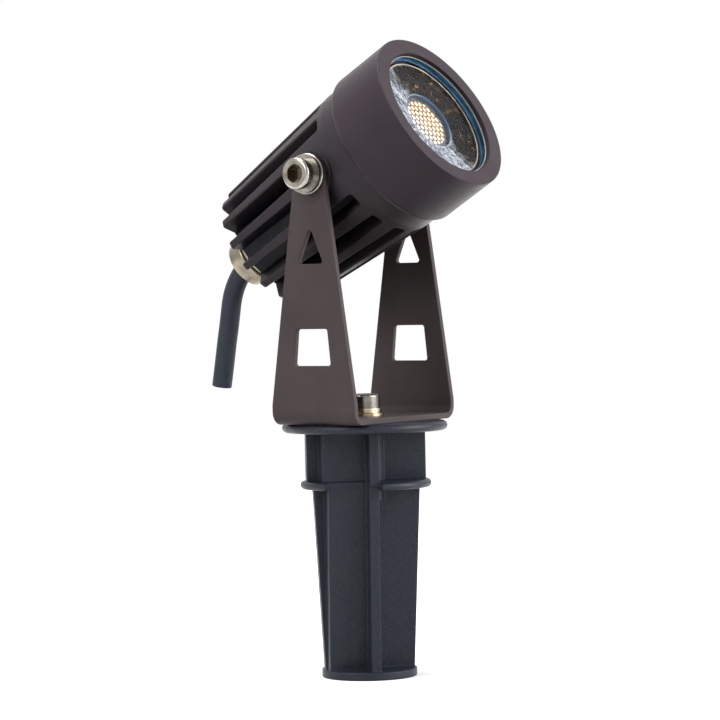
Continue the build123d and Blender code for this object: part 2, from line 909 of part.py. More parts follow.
# Power cord, the short end seen under the gland
cord_runs = [cord_bend_run] * cord_bend_steps + [cord_knee_run, cord_fall_run, cord_low_run, cord_end_run]
cord_turns = [cord_bend_turn] * (cord_bend_steps - 1)
cord_turns += [cord_knee_turn, cord_fall_turn, cord_low_turn, cord_end_turn]
cord_heading = head_tilt
cord_point = front_center + rearward * cord_exit
cord_points = [cord_point]
for run, turn in zip(cord_runs, [0] + cord_turns):
    cord_heading += turn
    step = Vector(0, cos(radians(cord_heading)), -sin(radians(cord_heading)))
    cord_point = cord_point + step * run
    cord_points.append(cord_point)
cord_bends = [
    cord_corner_share * min(before, after) / tan(radians(abs(turn)) / 2)
    for before, after, turn in zip(cord_runs, cord_runs[1:], cord_turns)
]

with BuildPart() as power_cord:
    with BuildLine() as cord_route:
        FilletPolyline(*cord_points, radius=cord_bends)
    with BuildSketch(head_plane(cord_exit)):
        Circle(cord_radius)
    sweep(path=cord_route.wire())

power_cord.part.label = "power_cord"
export_step(power_cord.part, "parts/power_cord.step")

print("cord bends", [round(bend, 1) for bend in cord_bends])
print("cord points", [(round(p.Y, 2), round(p.Z, 2)) for p in cord_points])
print("cord length", round(cord_route.wire().length, 2))
print("cord volume", round(power_cord.part.volume, 2))
print("cord section times length", round(pi * cord_radius**2 * cord_route.wire().length, 2))
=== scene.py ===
from math import cos, pi, radians, sin

import bmesh
import bpy
from mathutils import Matrix, Vector


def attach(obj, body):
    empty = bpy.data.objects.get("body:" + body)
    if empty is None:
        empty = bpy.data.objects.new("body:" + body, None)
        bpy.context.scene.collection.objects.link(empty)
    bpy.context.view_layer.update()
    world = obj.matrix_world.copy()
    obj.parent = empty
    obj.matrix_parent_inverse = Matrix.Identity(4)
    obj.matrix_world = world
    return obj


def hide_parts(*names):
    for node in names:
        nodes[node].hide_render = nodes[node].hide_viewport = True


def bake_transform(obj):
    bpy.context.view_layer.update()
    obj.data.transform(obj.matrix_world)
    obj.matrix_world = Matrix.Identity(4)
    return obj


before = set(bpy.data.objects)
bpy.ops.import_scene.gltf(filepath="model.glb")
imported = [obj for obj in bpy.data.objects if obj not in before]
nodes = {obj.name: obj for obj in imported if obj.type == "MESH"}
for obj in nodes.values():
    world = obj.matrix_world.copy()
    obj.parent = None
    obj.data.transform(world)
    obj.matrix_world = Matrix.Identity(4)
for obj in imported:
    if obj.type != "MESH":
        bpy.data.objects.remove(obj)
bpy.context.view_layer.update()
scene = bpy.context.scene
scene.view_settings.view_transform = "Standard"

# Sizes shared with the solids, in metres and radians
HEAD_TILT = radians(31.0)
PIVOT = Vector((0, 0, 0.1526))
PIVOT_STATION = 0.035
FORWARD = Vector((0, -cos(HEAD_TILT), sin(HEAD_TILT)))
REARWARD = -FORWARD
HEAD_UP = Vector((0, sin(HEAD_TILT), cos(HEAD_TILT)))
FRONT = PIVOT + FORWARD * PIVOT_STATION
CORD_DIAMETER = 0.0062


def head_point(station, radius, angle):
    """Point on the head by its distance behind the front face, its radius and its angle."""
    outward = Vector((cos(angle), 0, 0)) + HEAD_UP * sin(angle)
    return FRONT + REARWARD * station + outward * radius


def link(obj):
    scene.collection.objects.link(obj)
    return obj


def skin(mesh, rings):
    """Faces between each ring of points and the next."""
    for first, second in zip(rings, rings[1:]):
        for k in range(len(first)):
            n = (k + 1) % len(first)
            mesh.faces.new((first[k], first[n], second[n], second[k]))


def settled(mesh, name):
    """The mesh as data of that name, with its faces turned outwards."""
    bmesh.ops.recalc_face_normals(mesh, faces=mesh.faces)
    data = bpy.data.meshes.new(name)
    mesh.to_mesh(data)
    mesh.free()
    return data


# Camera at the photograph's angle
CAMERA_PLACE = Vector((-0.79651, -0.55635, 0.12017))
CAMERA_TARGET = Vector((-0.000616, 0.000833, 0.096396))
CAMERA_ROLL = radians(-1.19)
CAMERA_LENS = 159.48
CAMERA_SENSOR = 36
CAMERA_REACH = (0.01, 50)

look = (CAMERA_TARGET - CAMERA_PLACE).normalized()
level_right = look.cross(Vector((0, 0, 1))).normalized()
level_up = level_right.cross(look)
right = level_right * cos(CAMERA_ROLL) + level_up * sin(CAMERA_ROLL)
up = right.cross(look)
camera_data = bpy.data.cameras.new("camera")
camera_data.sensor_width = CAMERA_SENSOR
camera_data.lens = CAMERA_LENS
camera_data.clip_start, camera_data.clip_end = CAMERA_REACH
camera = link(bpy.data.objects.new("camera", camera_data))
turn = Matrix((right, up, -look)).transposed()
camera.matrix_world = Matrix.Translation(CAMERA_PLACE) @ turn.to_4x4()
scene.camera = camera

# Power cord, a tube along the route's own spline
CORD_POINTS = [
    (0, 0.03857, 0.12942),
    (0, 0.04140, 0.12772),
    (0, 0.04393, 0.12561),
    (0, 0.04611, 0.12312),
    (0, 0.04787, 0.12033),
    (0, 0.04918, 0.11731),
    (0, 0.05001, 0.11411),
    (0, 0.05074, 0.10916),
    (0, 0.05216, 0.10170),
    (0, 0.05357, 0.09321),
    (0, 0.05452, 0.08810),
]
CORD_ORDER = 3
CORD_STEPS = 8
CORD_SEGMENTS = 28
CORD_EDGE = 0.00035
CORD_EDGE_STEPS = 4


def route_points(points):
    """Even points along the smooth spline that has the route's points as its controls."""
    curve = bpy.data.curves.new("cord_route", "CURVE")
    curve.dimensions = "3D"
    curve.resolution_u = CORD_STEPS
    spline = curve.splines.new("NURBS")
    spline.points.add(len(points) - 1)
    for target, point in zip(spline.points, points):
        target.co = (*point, 1)
    spline.order_u = CORD_ORDER
    spline.use_endpoint_u = True
    carrier = link(bpy.data.objects.new("cord_route", curve))
    bpy.context.view_layer.update()
    mesh = bpy.data.meshes.new_from_object(carrier)
    line = [v.co.copy() for v in mesh.vertices]
    bpy.data.objects.remove(carrier)
    bpy.data.meshes.remove(mesh)
    return line


def tube(name, line, radius, segments):
    """Closed tube along a line, its far end softened like a cut jacket."""
    mesh = bmesh.new()
    side = Vector((1, 0, 0))
    rings = []
    frames = []
    for index, point in enumerate(line):
        ahead = line[min(index + 1, len(line) - 1)]
        behind = line[max(index - 1, 0)]
        frames.append((point, (ahead - behind).normalized(), radius))
    last_point, last_way, _ = frames.pop()
    for step in range(CORD_EDGE_STEPS + 1):
        share = step / CORD_EDGE_STEPS * pi / 2
        pull = CORD_EDGE * (1 - sin(share))
        frames.append((last_point - last_way * pull, last_way, radius - CORD_EDGE * (1 - cos(share))))
    for point, way, size in frames:
        normal = way.cross(side).normalized()
        rings.append([
            mesh.verts.new(point + (side * cos(a) + normal * sin(a)) * size)
            for a in (2 * pi * k / segments for k in range(segments))
        ])
    skin(mesh, rings)
    mesh.faces.new(rings[0][::-1])
    mesh.faces.new(rings[-1])
    data = settled(mesh, name)
    for polygon in data.polygons:
        polygon.use_smooth = len(polygon.vertices) == 4
    return link(bpy.data.objects.new(name, data))


cord_line = route_points(CORD_POINTS)
cord = tube("cord_jacket_tube", cord_line, CORD_DIAMETER / 2, CORD_SEGMENTS)
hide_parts("power_cord")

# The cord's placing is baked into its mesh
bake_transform(cord)


# Lens with a sunk honeycomb disc and a dimpled ring round it
LENS_SEGMENTS = 216
LENS_SMOOTHING = radians(40)
DISC_RADIUS = 0.0076
DISC_STATION = 0.0067
DISC_STEPS = 64
RIM_RADIUS = 0.0092
RIM_DRAFT = 0.0001
RING_INNER = 0.0095
RING_RADIUS = 0.0194
RING_STATION = 0.0038
RING_SINK = 0.0014
RING_STEPS = 32
LENS_RADIUS = 0.0196
LENS_CHAMFER = 0.0002
LENS_EDGE_STATION = 0.0062
CONE_RADIUS = 0.0184
TIP_RADIUS = 0.0080
TIP_STATION = 0.0190
HOLLOW_RADIUS = 0.0070
HOLLOW_STATION = 0.0165
CELL_PITCH = 0.0020
CELL_TURN = radians(-3.0)
CELL_RISE = 0.00042
ROW_PITCH = 3 ** 0.5 / 2
CORNERS_PER_PITCH = 3 ** 0.5
DIMPLE_RISE = 0.00012
DIMPLE_COUNT = 40
DIMPLE_RINGS = 5
CELL_LAYER = "cell"


def cell_offset(x, y):
    """Offset of a point of the disc from the middle of its honeycomb cell, in pitches."""
    u = (x * cos(CELL_TURN) + y * sin(CELL_TURN)) / CELL_PITCH
    v = (y * cos(CELL_TURN) - x * sin(CELL_TURN)) / CELL_PITCH
    row = round(v / ROW_PITCH)
    offsets = []
    for r in (row - 1, row, row + 1):
        shift = 0.5 if r % 2 else 0.0
        offsets.append(Vector((u - shift - round(u - shift), v - r * ROW_PITCH, 0)))
    return min(offsets, key=lambda offset: offset.length)


def cell_height(offset):
    """Rise of a small pillow over its cell, one in the middle and none at the corners."""
    return 1 - (offset.length * CORNERS_PER_PITCH) ** 2


def lens_rings():
    """Rings of the lens from its middle outwards and back to its middle: radius, station, kind."""
    rings = [(DISC_RADIUS * k / DISC_STEPS, DISC_STATION, "cells") for k in range(1, DISC_STEPS + 1)]
    rings += [
        (RIM_RADIUS, DISC_STATION - RIM_DRAFT, "plain"),
        (RIM_RADIUS + RIM_DRAFT, RING_STATION + RING_SINK, "plain"),
    ]
    for k in range(RING_STEPS + 1):
        share = k / RING_STEPS
        radius = RING_INNER + (RING_RADIUS - RING_INNER) * share
        rings.append((radius, RING_STATION + RING_SINK * (1 - share), "dimples"))
    rings += [
        (LENS_RADIUS, RING_STATION + LENS_CHAMFER, "plain"),
        (LENS_RADIUS, LENS_EDGE_STATION, "plain"),
        (CONE_RADIUS, LENS_EDGE_STATION, "plain"),
        (TIP_RADIUS, TIP_STATION, "plain"),
        (HOLLOW_RADIUS, TIP_STATION, "plain"),
        (HOLLOW_RADIUS, HOLLOW_STATION, "plain"),
    ]
    return rings


def lens_relief(radius, angle, kind):
    """How far a point of the lens stands out of its ring, and its place in its cell."""
    rise = 0.0
    cell = Vector((0, 0, 0))
    if kind == "cells":
        cell = cell_offset(radius * cos(angle), radius * sin(angle))
        cell.z = cell_height(cell)
        rise = CELL_RISE * cell.z
    elif kind == "dimples":
        share = (radius - RING_INNER) / (RING_RADIUS - RING_INNER)
        stagger = angle * DIMPLE_COUNT / 2 + pi / 2 * (int(share * DIMPLE_RINGS) % 2)
        rise = -DIMPLE_RISE * abs(sin(stagger)) * abs(sin(pi * share * DIMPLE_RINGS))
    return rise, cell


def lens_mesh(name):
    """The lens; each point of the disc keeps its place in its cell, which the material reads."""
    mesh = bmesh.new()
    cell_layer = mesh.verts.layers.float_vector.new(CELL_LAYER)
    rings = []
    for radius, station, kind in lens_rings():
        ring = []
        for k in range(LENS_SEGMENTS):
            angle = 2 * pi * k / LENS_SEGMENTS
            rise, cell = lens_relief(radius, angle, kind)
            vert = mesh.verts.new(head_point(station - rise, radius, angle))
            vert[cell_layer] = cell
            ring.append(vert)
        rings.append(ring)
    skin(mesh, rings)
    middle = mesh.verts.new(head_point(DISC_STATION - CELL_RISE, 0, 0))
    middle[cell_layer] = Vector((0, 0, 1))
    hollow = mesh.verts.new(head_point(HOLLOW_STATION, 0, 0))
    for k in range(LENS_SEGMENTS):
        n = (k + 1) % LENS_SEGMENTS
        mesh.faces.new((middle, rings[0][n], rings[0][k]))
        mesh.faces.new((hollow, rings[-1][k], rings[-1][n]))
    data = settled(mesh, name)
    for polygon in data.polygons:
        polygon.use_smooth = True
    data.set_sharp_from_angle(angle=LENS_SMOOTHING)
    return link(bpy.data.objects.new(name, data))


lens = lens_mesh("honeycomb_lens")
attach(lens, "head")
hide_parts("tir_lens")


# Materials
NOISE_SPAN = (0.3, 0.7)


class Nodes:
    """A node tree, and short ways to add to it."""

    def __init__(self, tree):
        self.tree = tree

    def node(self, kind, **values):
        made = self.tree.nodes.new(kind)
        for key, value in values.items():
            setattr(made, key, value)
        return made

    def join(self, output, target):
        self.tree.links.new(output, target)

    def ramp(self, value, low, high, first=0.0, second=1.0, blend="LINEAR"):
        made = self.node("ShaderNodeMapRange", interpolation_type=blend)
        made.inputs["From Min"].default_value = low
        made.inputs["From Max"].default_value = high
        made.inputs["To Min"].default_value = first
        made.inputs["To Max"].default_value = second
        self.join(value, made.inputs["Value"])
        return made.outputs["Result"]

    def math(self, operation, first, second):
        made = self.node("ShaderNodeMath", operation=operation)
        for socket, value in zip(made.inputs, (first, second)):
            if isinstance(value, (int, float)):
                socket.default_value = value
            else:
                self.join(value, socket)
        return made.outputs[0]

    def vector(self, operation, first, second=None):
        made = self.node("ShaderNodeVectorMath", operation=operation)
        self.join(first, made.inputs[0])
        if second is not None:
            made.inputs[1].default_value = second
        return made.outputs

    def seen_rays(self):
        """One on rays that see the background: from the camera, a mirror or through glass."""
        rays = self.node("ShaderNodeLightPath").outputs
        direct = self.math("MAXIMUM", rays["Is Camera Ray"], rays["Is Transmission Ray"])
        return self.math("MAXIMUM", direct, rays["Is Glossy Ray"])


class Shader(Nodes):
    """A node material with one principled shader."""

    def __init__(self, name):
        self.material = bpy.data.materials.new(name)
        self.material.use_nodes = True
        super().__init__(self.material.node_tree)
        self.principled = self.tree.nodes["Principled BSDF"]
        self.place = self.node("ShaderNodeTexCoord").outputs["Object"]

    def set(self, **values):
        for key, value in values.items():
            self.principled.inputs[key.replace("_", " ")].default_value = value

    def noise(self, scale, detail=2.0, rough=0.5, place=None):
        made = self.node("ShaderNodeTexNoise")
        made.inputs["Scale"].default_value = scale
        made.inputs["Detail"].default_value = detail
        made.inputs["Roughness"].default_value = rough
        self.join(place or self.place, made.inputs["Vector"])
        return made.outputs["Fac"]

    def colours(self, value, stops):
        made = self.node("ShaderNodeValToRGB")
        elements = made.color_ramp.elements
        while len(elements) < len(stops):
            elements.new(0.5)
        for element, (at, colour) in zip(elements, stops):
            element.position = at
            element.color = (*colour, 1)
        self.join(value, made.inputs["Fac"])
        return made.outputs["Color"]

    def mix(self, share, first, second):
        made = self.node("ShaderNodeMix", data_type="RGBA")
        self.join(share, made.inputs["Factor"])
        for value, key in ((first, "A"), (second, "B")):
            socket = next(s for s in made.inputs if s.name == key and s.type == "RGBA")
            if isinstance(value, tuple):
                socket.default_value = (*value, 1)
            else:
                self.join(value, socket)
        return next(s for s in made.outputs if s.type == "RGBA")

    def along(self, point, way):
        """Distance of the surface from a point, measured along a direction."""
        offset = self.vector("SUBTRACT", self.place, point)["Vector"]
        return self.vector("DOT_PRODUCT", offset, way)["Value"]

    def across(self, point, way):
        """Vector at right angles to an axis, as long as the surface's distance from it."""
        offset = self.vector("SUBTRACT", self.place, point)["Vector"]
        return self.vector("CROSS_PRODUCT", offset, way)["Vector"]

    def axis_distance(self, point, way):
        """Distance of the surface from an axis."""
        return self.vector("LENGTH", self.across(point, way))["Value"]

    def bump(self, height, strength, distance, below=None):
        made = self.node("ShaderNodeBump")
        made.inputs["Strength"].default_value = strength
        made.inputs["Distance"].default_value = distance
        self.join(height, made.inputs["Height"])
        if below is not None:
            self.join(below, made.inputs["Normal"])
        return made.outputs["Normal"]

    def tones(self, noise, dark, light, span=NOISE_SPAN):
        """Colour from dark to light over the middle of a noise."""
        return self.colours(noise, list(zip(span, (dark, light))))

    def spread(self, noise, low, high):
        """Value from low to high over the middle of a noise."""
        return self.ramp(noise, *NOISE_SPAN, low, high)

    def finish(self, colour=None, roughness=None, normal=None):
        for output, key in ((colour, "Base Color"), (roughness, "Roughness"), (normal, "Normal")):
            if output is not None:
                self.join(output, self.principled.inputs[key])
        return self.material


HEAD_AXIS = (FRONT, REARWARD)
PIVOT_AXIS = (PIVOT, Vector((1, 0, 0)))
BASE_AXIS = (Vector((0, 0, 0)), Vector((0, 0, 1)))
COAT_SHEEN = 0.13
PLASTIC_SHEEN = 0.27
RUBBER_SHEEN = 0.25
LENS_SHEEN = 0.1
# Painted shade: the dark put down in the fins' slots and on the seal's front beside the bezel wall, and
# the radii over which the slots' shade fades
PAINTED_SHADE_DARK = (0.008, 0.008, 0.0115)
FIN_SLOT_SHADE_SPAN = (0.0155, 0.0215)
STAKE_EDGE = 0.0007
# Painted shade inside the screws' key sockets, and the radii where it fades out
SOCKET_PAINTED_SHADE = (0.11, 0.088, 0.06)
SOCKET_SHADE_EDGE = (0.00275, 0.00294)
# Seal: the radii where its painted highlight gives way to painted shade, and the depth where its blue
# begins
SEAL_HIGHLIGHT_EDGE = (0.0206, 0.0207)
SEAL_BAND = (0.0015, 0.00155)
GLASS_INDEX = 1.05


def coated_metal(name, dark, light, rough, grain, slot_shade=None):
    """Dark bronze powder coat: faint cloudiness and a fine peel, and painted shade that darkens it down in
    the gaps.
    """
    s = Shader(name)
    s.set(Specular_IOR_Level=COAT_SHEEN)
    colour = s.tones(s.noise(scale=70, detail=3), dark, light)
    # Painted shade down in the gaps, darker towards the head's axis
    if slot_shade is not None:
        colour = s.mix(s.ramp(s.axis_distance(*HEAD_AXIS), *slot_shade), PAINTED_SHADE_DARK, colour)
    normal = s.bump(s.noise(grain, detail=2, rough=0.6), strength=0.16, distance=0.00008)
    roughness = s.spread(s.noise(scale=420, detail=3), rough - 0.05, rough + 0.06)
    return s.finish(colour, roughness, normal)


def moulded_plastic(name, dark, light, rough, edge):
    """Spark-textured black plastic with fine speckle and softened edges."""
    s = Shader(name)
    s.set(Specular_IOR_Level=PLASTIC_SHEEN)
    speckle = s.noise(scale=2200, detail=2, rough=0.7)
    colour = s.tones(speckle, dark, light, span=(0.35, 0.72))
    soften = s.node("ShaderNodeBevel", samples=6)
    soften.inputs["Radius"].default_value = edge
    normal = s.bump(speckle, strength=0.5, distance=0.00012, below=soften.outputs["Normal"])
    roughness = s.spread(s.noise(scale=300, detail=3), rough - 0.06, rough + 0.08)
    return s.finish(colour, roughness, normal)


def bright_metal(name, dark, light, rough, axis=None):
    """Polished metal with fine tool marks, and painted shade in the key socket round the axis of a screw.
    """
    s = Shader(name)
    s.set(Metallic=1.0)
    colour = s.tones(s.noise(scale=300, detail=2), dark, light)
    # Painted shade inside the key socket, near the screw's axis
    if axis is not None:
        colour = s.mix(s.ramp(s.axis_distance(*axis), *SOCKET_SHADE_EDGE), SOCKET_PAINTED_SHADE, colour)
    marks = s.noise(scale=1500, detail=4, rough=0.6)
    normal = s.bump(marks, strength=0.08, distance=0.00004)
    roughness = s.spread(marks, rough - 0.05, rough + 0.07)
    return s.finish(colour, roughness, normal)


def soft_rubber(name, dark, light, rough):
    """Matte jacket or seal with a faint bloom."""
    s = Shader(name)
    s.set(Specular_IOR_Level=RUBBER_SHEEN)
    bloom = s.noise(scale=260, detail=4, rough=0.6)
    colour = s.tones(bloom, dark, light, span=(0.3, 0.75))
    normal = s.bump(s.noise(scale=3200, detail=2), strength=0.15, distance=0.00006)
    roughness = s.spread(bloom, rough - 0.05, rough + 0.08)
    return s.finish(colour, roughness, normal)


def clear_seal(name, line, band):
    """Clear silicone round the glass: a painted highlight along the front lip with painted shade outward
    of it by the bezel wall, the glass edge's blue behind it.
    """
    s = Shader(name)
    s.set(Roughness=0.3)
    blue = s.tones(s.noise(scale=300, detail=3), band, tuple(c * 1.5 for c in band))
    # Painted highlight on the inner front edge, painted shade outward of it
    lip = s.mix(s.ramp(s.axis_distance(*HEAD_AXIS), *SEAL_HIGHLIGHT_EDGE), line, PAINTED_SHADE_DARK)
    return s.finish(s.mix(s.ramp(s.along(*HEAD_AXIS), *SEAL_BAND), lip, blue))


def clear_body(name, tint, ior, rough):
    """Clear glass with a trace of surface haze."""
    s = Shader(name)
    s.set(IOR=ior, Transmission_Weight=1.0)
    haze = s.noise(scale=500, detail=3)
    colour = s.tones(haze, tint, tuple(min(1.0, c * 1.02) for c in tint), span=(0.2, 0.8))
    roughness = s.ramp(haze, 0.3, 0.8, rough, rough + 0.01)
    return s.finish(colour, roughness)


# Lens colours, most of them painted highlights, reflections and shade, and where each begins and ends: by
# slope, height, distance to one side, radius or depth
CELL_PAINTED_LIGHT_WAY = (0.94, 0.34, 0)
LENS_PAINTED_LIGHT_WAY = (Vector((1, 0, 0)) + HEAD_UP * 0.55).normalized()
# Honeycomb pillows: painted highlight, mid tones, painted amber reflection and painted shade, and painted
# shade in the gaps
PILLOW_PAINTED_HIGHLIGHT = (0.74, 0.76, 0.8)
PILLOW_PAINTED_MID_TONE = (0.44, 0.4, 0.35)
PILLOW_PAINTED_AMBER_REFLECTION = (0.66, 0.33, 0.055)
PILLOW_PAINTED_SHADE = (0.03, 0.02, 0.015)
CELL_GAP_PAINTED_SHADE = (0.014, 0.014, 0.017)
HIGHLIGHT_SLOPE = (-0.26, -0.14)
SHADE_SLOPE = (0.1, 0.22)
SLOPE_WAVER = 0.06
GAP_SHADE_HEIGHT = (0.22, 0.5)
AMBER_REFLECTION_SIDE = (-0.006, 0.0)
# Bowl: painted reflection on the near side, painted shade with amber glints on the far side, and where
# that shade begins
SILVER_PAINTED_REFLECTION = [(0.38, (0.06, 0.065, 0.08)), (0.48, (0.24, 0.265, 0.32)), (0.57, (0.58, 0.6, 0.65))]
FAR_PAINTED_SHADE_AND_GLINTS = [(0.5, (0.009, 0.007, 0.0075)), (0.62, (0.026, 0.017, 0.012)), (0.72, (0.26, 0.14, 0.045))]
STREAK_SHARE = 0.4
FAR_SHADE_SIDE = (-0.004, 0.002)
FAR_SHADE_WAVER = 0.003
# Rim: a painted highlight along its front, turning to a painted blue reflection on the far side
BEAD_PAINTED_HIGHLIGHT = (0.5, 0.54, 0.6)
BEAD_PAINTED_BLUE_REFLECTION = (0.1, 0.25, 0.47)
BEAD_SIDE = (0.002, 0.007)
BEAD_WIDTH = 0.0002
BEAD_FADE = 0.0004
BEAD_STATION = RING_STATION + RING_SINK + BEAD_WIDTH
RIM_GREY = (0.13, 0.14, 0.165)
# Painted highlight along the lens's outer edge
EDGE_PAINTED_HIGHLIGHT = (0.42, 0.38, 0.32)
MIRROR_METAL = (0.3, 0.6)
MIRROR_ROUGH = (0.4, 0.15)
DISC_BORDER = (0.0075, 0.0078)
RIM_BORDER = (0.0093, 0.0096)
EDGE_BORDER = (0.0189, 0.0193)


def pillow_colour(s, side):
    """Honeycomb: painted light on each pillow, from a painted highlight through a mid tone (grey on one
    side of the disc, a painted amber reflection on the other) to painted shade, with painted shade in the
    gaps between them.
    """
    cell = s.node("ShaderNodeAttribute", attribute_name=CELL_LAYER).outputs["Vector"]
    height = s.vector("DOT_PRODUCT", cell, (0, 0, 1))["Value"]
    tilt = s.vector("DOT_PRODUCT", cell, CELL_PAINTED_LIGHT_WAY)["Value"]
    slope = s.math("ADD", tilt, s.spread(s.noise(scale=700, detail=2), -SLOPE_WAVER, SLOPE_WAVER))
    # Painted light by each pillow's slope: highlight on one face, shade on the other, an amber reflection
    # between them on one side of the disc
    tone = s.mix(s.ramp(side, *AMBER_REFLECTION_SIDE), PILLOW_PAINTED_MID_TONE, PILLOW_PAINTED_AMBER_REFLECTION)
    lit = s.mix(s.ramp(slope, *HIGHLIGHT_SLOPE), PILLOW_PAINTED_HIGHLIGHT, tone)
    pillow = s.mix(s.ramp(slope, *SHADE_SLOPE), lit, PILLOW_PAINTED_SHADE)
    return s.mix(s.ramp(height, *GAP_SHADE_HEIGHT), CELL_GAP_PAINTED_SHADE, pillow)


def bowl_colour(s, far_shade):
    """Bowl round the honeycomb: a silvery painted reflection with streaks, and painted shade with painted
    amber glints on its far side.
    """
    outward = s.vector("NORMALIZE", s.across(*HEAD_AXIS))["Vector"]
    streaks = s.math("MULTIPLY", s.noise(scale=9, detail=4, rough=0.65, place=outward), STREAK_SHARE)
    grain = s.math("MULTIPLY", s.noise(scale=760, detail=4, rough=0.7), 1 - STREAK_SHARE)
    painted_silver = s.colours(s.math("ADD", grain, streaks), SILVER_PAINTED_REFLECTION)
    far_shade_colour = s.colours(s.noise(scale=430, detail=3, rough=0.6), FAR_PAINTED_SHADE_AND_GLINTS)
    return s.mix(far_shade, painted_silver, far_shade_colour)


def rim_colour(s, side):
    """Wall between the two: grey, with a painted highlight along its front that turns to a painted blue
    reflection on the far side.
    """
    bead = s.mix(s.ramp(side, *BEAD_SIDE), BEAD_PAINTED_HIGHLIGHT, BEAD_PAINTED_BLUE_REFLECTION)
    return s.mix(s.ramp(s.along(*HEAD_AXIS), BEAD_STATION, BEAD_STATION + BEAD_FADE), bead, RIM_GREY)


def lens_optic(name):
    """Optic with a honeycomb in its middle, partly metallic; its colours are painted reflections and
    painted shade, bright on one side and dark on the other.
    """
    s = Shader(name)
    s.set(Specular_IOR_Level=LENS_SHEEN)
    radius = s.axis_distance(*HEAD_AXIS)
    # Painted shade over the far side of the lens, with a wavering edge; the near side keeps its painted
    # reflections and is more metallic
    side = s.along(FRONT, LENS_PAINTED_LIGHT_WAY)
    waver = s.spread(s.noise(scale=220, detail=3), -FAR_SHADE_WAVER, FAR_SHADE_WAVER)
    far_shade = s.ramp(s.math("ADD", side, waver), *FAR_SHADE_SIDE)
    collar = s.mix(s.ramp(radius, *RIM_BORDER), rim_colour(s, side), bowl_colour(s, far_shade))
    # Painted highlight along the lens's outer edge
    face = s.mix(s.ramp(radius, *EDGE_BORDER), collar, EDGE_PAINTED_HIGHLIGHT)
    outside = s.ramp(radius, *DISC_BORDER)
    mirror = s.math("MULTIPLY", outside, s.math("SUBTRACT", 1.0, far_shade))
    s.join(s.ramp(mirror, 0.0, 1.0, *MIRROR_METAL), s.principled.inputs["Metallic"])
    ripple = s.math("MULTIPLY", s.noise(scale=800, detail=3, rough=0.6), mirror)
    normal = s.bump(ripple, strength=0.4, distance=0.00012)
    roughness = s.ramp(mirror, 0.0, 1.0, *MIRROR_ROUGH)
    return s.finish(s.mix(outside, pillow_colour(s, side), face), roughness, normal)


# Finish of each piece, with its dark and light tones
BRACKET_TONES = ((0.076, 0.0585, 0.059), (0.09, 0.07, 0.071))
BEZEL_TONES = ((0.042, 0.0305, 0.037), (0.051, 0.038, 0.046))
BODY_TONES = ((0.038, 0.031, 0.036), (0.046, 0.038, 0.043))
STAKE_TONES = ((0.008, 0.011, 0.019), (0.029, 0.035, 0.051))
STEEL_TONES = ((0.22, 0.207, 0.19), (0.44, 0.405, 0.35))
DULL_STEEL_TONES = ((0.13, 0.123, 0.113), (0.22, 0.205, 0.18))
WARM_STEEL_TONES = ((0.36, 0.28, 0.19), (0.54, 0.44, 0.31))
NICKEL_TONES = ((0.2, 0.17, 0.128), (0.3, 0.264, 0.205))
BRASS_TONES = ((0.56, 0.4, 0.16), (0.7, 0.52, 0.24))
SEAL_TONES = ((0.018, 0.018, 0.02), (0.03, 0.03, 0.033))
PAD_TONES = ((0.3, 0.32, 0.35), (0.42, 0.44, 0.47))
JACKET_TONES = ((0.018, 0.022, 0.034), (0.029, 0.035, 0.05))
WIRE_TONES = ((0.22, 0.03, 0.025), (0.32, 0.05, 0.04))
HOLDER_TONES = ((0.62, 0.62, 0.6), (0.74, 0.74, 0.72))
BOARD_TONES = ((0.66, 0.66, 0.64), (0.78, 0.78, 0.75))
PHOSPHOR_TONES = ((0.75, 0.52, 0.06), (0.86, 0.66, 0.12))
# Pale colour of the seal's painted highlight, and the seal's own blue
SILICONE_PAINTED_HIGHLIGHT = (0.62, 0.6, 0.5)
SILICONE_BAND = (0.05, 0.16, 0.28)
GLASS_TINT = (0.97, 0.985, 0.99)

BRACKET_PAINT = coated_metal("bracket_bronze_coat", *BRACKET_TONES, rough=0.48, grain=2400)
BEZEL_PAINT = coated_metal("bezel_bronze_coat", *BEZEL_TONES, rough=0.38, grain=2600)
BODY_PAINT = coated_metal("body_bronze_coat", *BODY_TONES, rough=0.34, grain=2600, slot_shade=FIN_SLOT_SHADE_SPAN)
STAKE_PLASTIC = moulded_plastic("stake_black_plastic", *STAKE_TONES, rough=0.4, edge=STAKE_EDGE)
STAINLESS = bright_metal("polished_stainless", *STEEL_TONES, rough=0.2)
PIVOT_SCREW = bright_metal("pivot_screw_stainless", *STEEL_TONES, rough=0.18, axis=PIVOT_AXIS)
BASE_SCREW = bright_metal("base_screw_stainless", *DULL_STEEL_TONES, rough=0.22, axis=BASE_AXIS)
BASE_WASHER = bright_metal("base_washer_warm_steel", *WARM_STEEL_TONES, rough=0.22)
NICKEL = bright_metal("nickel_brass", *NICKEL_TONES, rough=0.26)
BRASS = bright_metal("plain_brass", *BRASS_TONES, rough=0.3)
SEAL = soft_rubber("seal_rubber", *SEAL_TONES, rough=0.6)
CLEAR_SEAL = clear_seal("blue_silicone", SILICONE_PAINTED_HIGHLIGHT, SILICONE_BAND)
PAD_GREY = soft_rubber("thermal_pad_grey", *PAD_TONES, rough=0.7)
JACKET = soft_rubber("cord_jacket", *JACKET_TONES, rough=0.5)
WIRE = soft_rubber("wire_insulation", *WIRE_TONES, rough=0.45)
HOLDER = soft_rubber("holder_white", *HOLDER_TONES, rough=0.5)
BOARD = soft_rubber("board_white", *BOARD_TONES, rough=0.4)
PHOSPHOR = soft_rubber("phosphor_yellow", *PHOSPHOR_TONES, rough=0.4)
GLASS = clear_body("front_glass_clear", GLASS_TINT, GLASS_INDEX, rough=0.0)
ACRYLIC = lens_optic("lens_acrylic")

